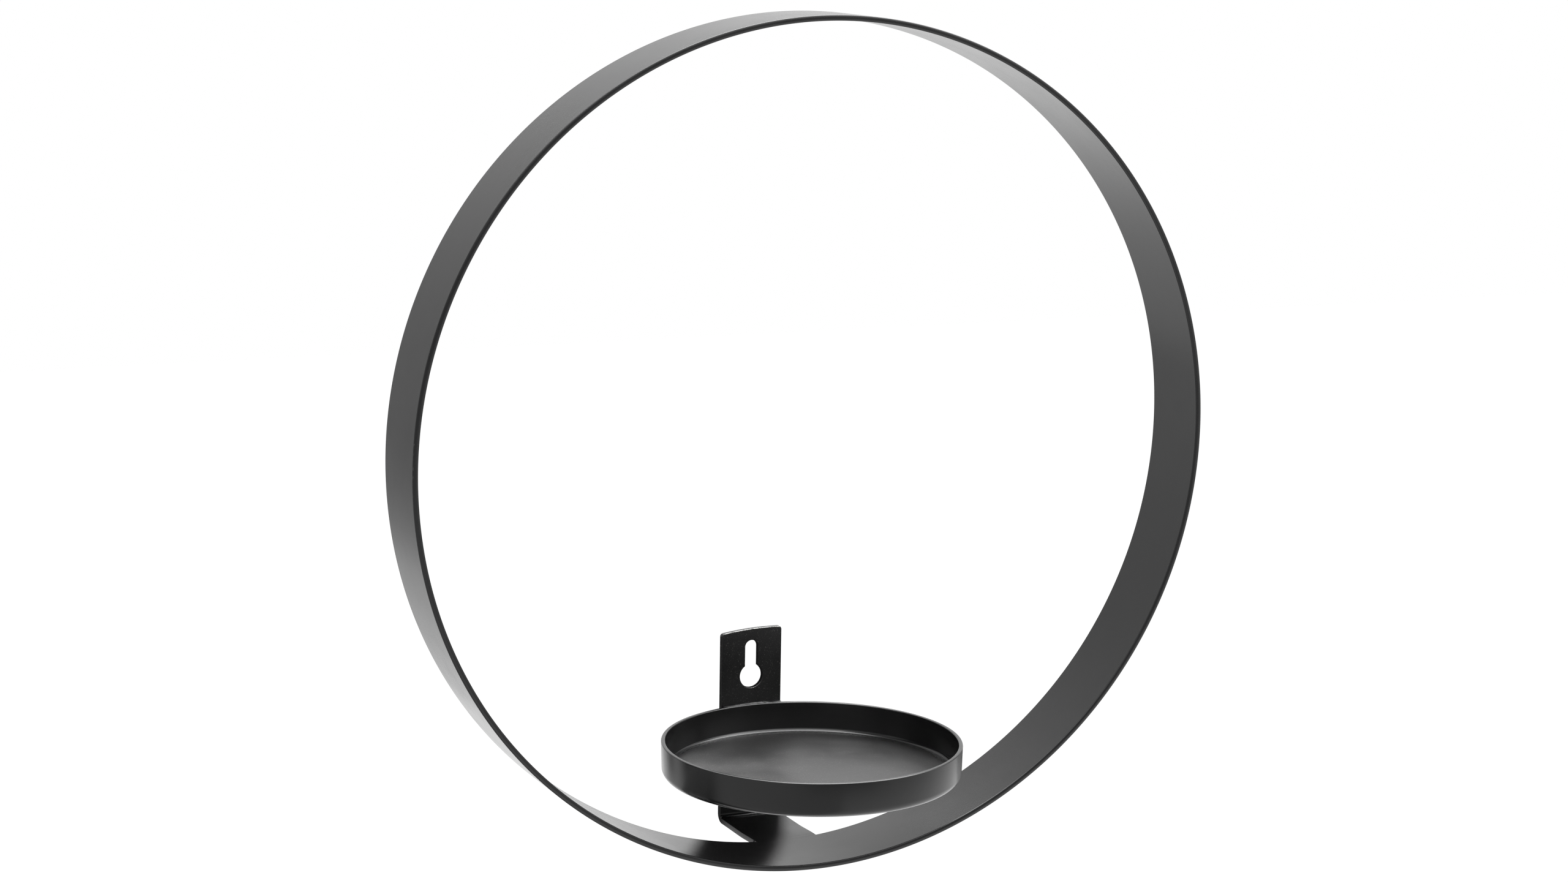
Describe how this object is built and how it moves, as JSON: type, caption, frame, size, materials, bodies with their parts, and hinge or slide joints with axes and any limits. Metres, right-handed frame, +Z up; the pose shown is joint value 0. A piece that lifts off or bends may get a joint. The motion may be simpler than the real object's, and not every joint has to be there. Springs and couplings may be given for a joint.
{
  "type": "wall candle holder",
  "caption": "Ring of flat black steel bar on a bent keyhole strip, with a shallow round pan welded inside it that holds a pillar candle on a wall.",
  "frame": {"origin": "centre of the keyhole's round head, on the plane of the wall that the strip's back lies against", "axes": "+Z up, +Y square into the wall, +X to the right for someone who faces the wall"},
  "size_m": [0.3, 0.1091, 0.3],
  "materials": {
    "ring_paint": "satin black powder coat on steel",
    "bracket_paint": "satin black powder coat on steel, worn at the sheared top and the keyhole",
    "plate_paint": "satin black powder coat on pressed steel, finely grained",
    "weld_paint": "satin black powder coat over weld metal"
  },
  "bodies": {
    "root": {"ring_band": "ring_paint", "wall_bracket": "bracket_paint", "candle_plate": "plate_paint", "plate_weld": "weld_paint", "foot_weld": "weld_paint"}
  },
  "joints": []
}
